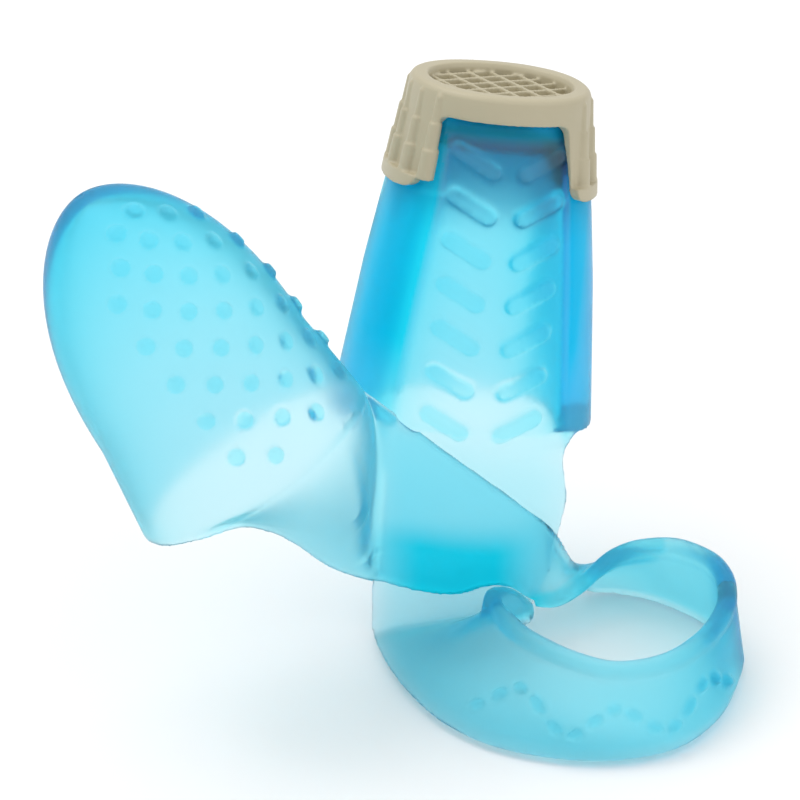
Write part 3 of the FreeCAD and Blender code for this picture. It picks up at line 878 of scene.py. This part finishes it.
def cap_material():
    """Opaque beige moulded plastic with a fine satin grain."""
    made, nodes, links = material("beige cap plastic")
    output = nodes.new("ShaderNodeOutputMaterial")
    shader = nodes.new("ShaderNodeBsdfPrincipled")
    place = nodes.new("ShaderNodeTexCoord").outputs["Object"]
    cloud = noise(nodes, links, place, 140.0, 4.0)
    grain = noise(nodes, links, place, 5200.0, 2.0)
    colour = mix_colours(nodes, links, cloud.outputs["Fac"], (0.44, 0.395, 0.27, 1), (0.50, 0.45, 0.315, 1))
    links.new(colour.outputs[2], shader.inputs["Base Color"])
    links.new(ramp(nodes, links, cloud.outputs["Fac"], 0.3, 0.7, 0.40, 0.5), shader.inputs["Roughness"])
    bump = nodes.new("ShaderNodeBump")
    bump.inputs["Strength"].default_value = 0.15
    bump.inputs["Distance"].default_value = 0.00004
    links.new(grain.outputs["Fac"], bump.inputs["Height"])
    links.new(bump.outputs["Normal"], shader.inputs["Normal"])
    links.new(shader.outputs["BSDF"], output.inputs["Surface"])
    return made


# ---------------------------------------------------------------------- cap
CAP_VOXEL = 0.12
CAP_MELT_ROUNDS = 1
CAP_BOTTOM = 22.5
CAP_TOP = 32.2
CAP_POWER = 2.2
COLLAR_TOP = 23.85
COLLAR_PROUD = 0.6
WINDOW_TOP = 29.7
WINDOW_CORNER = 0.9
RECESS_FLOOR = 30.55
RECESS_RIM = 1.8
PLATE_BOTTOM = 30.22


CAP_BOTTOM_WIDTH = 9.5
CAP_BOTTOM_DEPTH = 8.5
CAP_TOP_WIDTH = 8.45
CAP_TOP_DEPTH = 7.9
LEG_LIFT = -0.15
# A leg's centre line lies a little toward the pad side; half widths at its foot and top.
LEG_CENTRE = -0.85
LEG_FOOT_HALF = 7.5
LEG_TOP_HALF = 6.15
LEG_CORNER = 1.0
# The cap's inner skin stands this far off the silicone.
CAP_PLAY = 0.05


def cap_sizes(height):
    """The cap's half width and half depth at a height."""
    share = (height - CAP_BOTTOM) / (CAP_TOP - CAP_BOTTOM)
    return (CAP_BOTTOM_WIDTH + (CAP_TOP_WIDTH - CAP_BOTTOM_WIDTH) * share,
            CAP_BOTTOM_DEPTH + (CAP_TOP_DEPTH - CAP_BOTTOM_DEPTH) * share)


def leg_ends(height, side):
    """The angle from a leg's middle to its edges, which round off at its foot and top."""
    half = np.interp(height, [CAP_BOTTOM - 1, WINDOW_TOP], [LEG_FOOT_HALF, LEG_TOP_HALF])
    above = height - (WINDOW_TOP - WINDOW_CORNER)
    if above > 0:
        drop = min(above, WINDOW_CORNER)
        half -= WINDOW_CORNER - math.sqrt(WINDOW_CORNER ** 2 - drop ** 2)
    below = min(CAP_BOTTOM + LEG_CORNER - height, LEG_CORNER)
    if below > 0:
        half += LEG_CORNER - math.sqrt(LEG_CORNER ** 2 - below ** 2)
    edge = abs(side * half + LEG_CENTRE)
    return math.acos(min((edge / cap_sizes(height)[0]) ** (CAP_POWER / 2), 1.0))


def add_leg_patch(part, side, heights, lift):
    """Part of a cap leg: its outer skin lifted, its inner skin on the silicone."""
    rings = []
    for height in heights:
        end = leg_ends(height, side)
        middle_angle = 0.0 if side > 0 else math.pi
        angle = middle_angle + np.linspace(-end, end, 40)
        x, y = superoval(*(np.array(cap_sizes(height)) + lift), angle, CAP_POWER)
        outer = finger.place(x, y, height)
        half_width, half_depth = finger.half_sizes(min(height + 0.3, FINGER_TOP))
        x, y = superoval(min(half_width, 8.9) + CAP_PLAY, half_depth + CAP_PLAY, angle, finger.power)
        inner = finger.place(x, y, height)
        rings.append(np.concatenate([outer, inner[::-1]]))
    part.add_tube(rings)


def add_band(part, levels, inner_at):
    """A full hoop of the cap; levels are heights with an inset of the outer skin."""
    rings = []
    for height, inset in levels:
        x, y = superoval(*(np.array(cap_sizes(height)) - inset), around, CAP_POWER)
        rings.append(finger.place(x, y, height))
    for height, _ in levels[::-1]:
        x, y = inner_at(height)
        rings.append(finger.place(x, y, height))
    part.add_ringed(rings)


def band_inside(height):
    half_width, half_depth = finger.half_sizes(height)
    return superoval(half_width + CAP_PLAY, half_depth + CAP_PLAY, around, finger.power)


def recess_inside(height):
    flare = 0.25 * smoothstep(CAP_TOP - 0.35, CAP_TOP, height)
    return superoval(CAP_TOP_WIDTH - RECESS_RIM + flare, CAP_TOP_DEPTH - RECESS_RIM + flare, around, 2.05)


RIB_TURNS = (-37.0, -18.5, 0.0, 18.5, 37.0)
# Height down a rib and the rib's radius there: three steps, each a little fatter.
RIB_STEPS = [(31.8, 0.15), (31.4, 0.42), (28.95, 0.46), (28.85, 0.62), (26.45, 0.66), (26.35, 0.82),
             (23.6, 0.86)]
RIB_LIFT = -0.3


def add_ribs(part):
    circle = np.linspace(0, 2 * math.pi, 16, endpoint=False)
    for side in (0.0, 180.0):
        for turn in RIB_TURNS:
            angle = math.radians(side + turn)
            rings = []
            for height, radius in RIB_STEPS:
                x, y = superoval(*(np.array(cap_sizes(height)) + RIB_LIFT), angle, CAP_POWER)
                outward = unit(math.cos(angle) * finger.x + math.sin(angle) * finger.y)
                across = np.cross(finger.z, outward)
                centre = finger.place(x, y, height)
                rings.append(centre + radius * (np.cos(circle)[:, None] * outward
                                                + np.sin(circle)[:, None] * across))
            part.add_tube(rings)


GRID_TURN = 26.0
GRID_SLANT = 81.0
ROW_PITCH = 1.85
COLUMN_PITCH = 2.3
GRID_WIDTH = 0.36
GRID_HEIGHT = 0.9


def add_waffle(part):
    """Two crossing sets of fine bars on the floor of the recess."""
    half_width = CAP_TOP_WIDTH - RECESS_RIM + 0.25
    half_depth = CAP_TOP_DEPTH - RECESS_RIM + 0.25
    for degrees, pitch in ((GRID_TURN, ROW_PITCH), (GRID_TURN + GRID_SLANT, COLUMN_PITCH)):
        angle = math.radians(degrees)
        along = np.array([math.cos(angle), math.sin(angle)])
        aside = np.array([-math.sin(angle), math.cos(angle)])
        for index in range(-4, 5):
            offset = index * pitch
            # The bar's ends are where its line crosses the recess's oval.
            scaled_along = along / (half_width, half_depth)
            scaled_aside = aside * offset / (half_width, half_depth)
            a = scaled_along @ scaled_along
            b = scaled_along @ scaled_aside
            c = scaled_aside @ scaled_aside - 1
            root = b * b - a * c
            if root <= 0.06 * a:
                continue
            ends = [(-b - math.sqrt(root)) / a, (-b + math.sqrt(root)) / a]
            rings = []
            for end in ends:
                ring = []
                for out, up in ((-1, -0.2), (1, -0.2), (0.9, GRID_HEIGHT), (-0.9, GRID_HEIGHT)):
                    x, y = along * end + aside * (offset + out * GRID_WIDTH / 2)
                    ring.append(finger.place(x, y, RECESS_FLOOR + up))
                rings.append(np.array(ring))
            part.add_tube(rings)


# Height up the rim and inset of its outer skin there, which rounds over at the top.
RIM_LEVELS = [(PLATE_BOTTOM - 0.2, 0.12), (31.2, 0.1), (31.75, 0.12), (32.05, 0.28), (CAP_TOP, 0.55)]
PLATE_HALF_WIDTH = 7.2
PLATE_HALF_DEPTH = 6.7


def build_cap():
    """The hard cap: two legs with collars, a rim, a floor with a waffle face, and ribs."""
    part = Part()
    foot_heights = np.linspace(CAP_BOTTOM, CAP_BOTTOM + LEG_CORNER, 8)
    leg_heights = np.concatenate([foot_heights, np.linspace(CAP_BOTTOM + 1.3, WINDOW_TOP - 1.0, 12),
                                  np.linspace(WINDOW_TOP - WINDOW_CORNER, WINDOW_TOP, 8),
                                  [WINDOW_TOP + 0.4]])
    collar_heights = np.concatenate([foot_heights, [COLLAR_TOP]])
    for side in (-1, 1):
        add_leg_patch(part, side, leg_heights, LEG_LIFT)
        add_leg_patch(part, side, collar_heights, COLLAR_PROUD)
    add_band(part, [(WINDOW_TOP, 0.15), (PLATE_BOTTOM - 0.05, 0.12)], band_inside)
    add_band(part, RIM_LEVELS, recess_inside)
    plate = []
    for height in (PLATE_BOTTOM, RECESS_FLOOR):
        x, y = superoval(PLATE_HALF_WIDTH, PLATE_HALF_DEPTH, around, 2.1)
        plate.append(finger.place(x, y, height))
    part.add_tube(plate)
    add_ribs(part)
    add_waffle(part)
    return part


# -------------------------------------------------------------------- build
silicone = silicone_material()
cap_plastic = cap_material()

finger_moulding = build_moulding("finger_moulding", build_finger_moulding(), True, finger_depth_shade_and_highlight, STRAP_EDGE)
thumb_moulding = build_moulding("thumb_moulding", build_thumb_moulding(), False, thumb_depth_and_shade, WEB_FOLD)
for moulding in (finger_moulding, thumb_moulding):
    moulding.data.materials.append(silicone)

cap = make_object("cap", build_cap().mesh("cap"))
melt(cap, CAP_VOXEL, CAP_MELT_ROUNDS)
cap.data.materials.clear()
cap.data.materials.append(cap_plastic)
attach(cap, "finger")
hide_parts("tip_cap", "needle_grid")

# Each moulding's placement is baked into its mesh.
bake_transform(finger_moulding)
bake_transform(thumb_moulding)
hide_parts("finger_stall", "finger_grip_bars", "finger_strap", "strap_root",
            "ring_band", "ring_lip")
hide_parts("thumb_stall", "thumb_grip_dots", "thumb_gusset", "thumb_web")

# -------------------------------------------------------------------- stage
FLOOR_HALF = 0.6
floor_mesh = bpy.data.meshes.new("floor")
floor_mesh.from_pydata([(-FLOOR_HALF, -FLOOR_HALF, 0), (FLOOR_HALF, -FLOOR_HALF, 0),
                        (FLOOR_HALF, FLOOR_HALF, 0), (-FLOOR_HALF, FLOOR_HALF, 0)], [], [(0, 1, 2, 3)])
floor = make_object("floor", floor_mesh)
floor_paint, floor_nodes, floor_links = material("pale floor")
floor_shader = floor_nodes.new("ShaderNodeBsdfPrincipled")
floor_shader.inputs["Base Color"].default_value = (0.93, 0.93, 0.93, 1)
floor_shader.inputs["Roughness"].default_value = 0.8
floor_output = floor_nodes.new("ShaderNodeOutputMaterial")
floor_links.new(floor_shader.outputs["BSDF"], floor_output.inputs["Surface"])
floor_mesh.materials.append(floor_paint)

scene = bpy.context.scene
scene.view_settings.view_transform = "Standard"
world = bpy.data.worlds.new("studio")
world.use_nodes = True
sky_nodes, sky_links = world.node_tree.nodes, world.node_tree.links
sky_height = sky_nodes.new("ShaderNodeSeparateXYZ")
sky_links.new(sky_nodes.new("ShaderNodeTexCoord").outputs["Generated"], sky_height.inputs[0])
sky_glow = ramp(sky_nodes, sky_links, sky_height.outputs["Z"], 0.0, 0.8, 0.6, 1.04)
sky_links.new(sky_glow, sky_nodes["Background"].inputs["Strength"])
sky_nodes["Background"].inputs["Color"].default_value = (1, 1, 1, 1)
scene.world = world


def area_lamp(name, place, target, side, power):
    lamp = bpy.data.lights.new(name, "AREA")
    lamp.shape = "SQUARE"
    lamp.size = side
    lamp.energy = power
    obj = bpy.data.objects.new(name, lamp)
    scene.collection.objects.link(obj)
    obj.location = place
    obj.rotation_euler = (Vector(target) - Vector(place)).to_track_quat("-Z", "Y").to_euler()
    return obj


TARGET = Vector((-0.00035, -0.0032, 0.0278))
LAMP_SIDE = 0.25
area_lamp("key", (-0.16, 0.10, 0.44), TARGET, LAMP_SIDE, 0.6)
area_lamp("fill", (0.32, -0.10, 0.22), TARGET, LAMP_SIDE, 0.12)

camera_data = bpy.data.cameras.new("camera")
camera_data.lens = 206.0
camera_data.sensor_width = 36.0
camera_data.clip_start = 0.01
camera_data.clip_end = 5.0
camera = bpy.data.objects.new("camera", camera_data)
scene.collection.objects.link(camera)
ELEVATION = math.radians(32.0)
DISTANCE = 0.42
camera.location = TARGET + Vector((0, -math.cos(ELEVATION), math.sin(ELEVATION))) * DISTANCE
camera.rotation_euler = (TARGET - camera.location).to_track_quat("-Z", "Y").to_euler()
scene.camera = camera
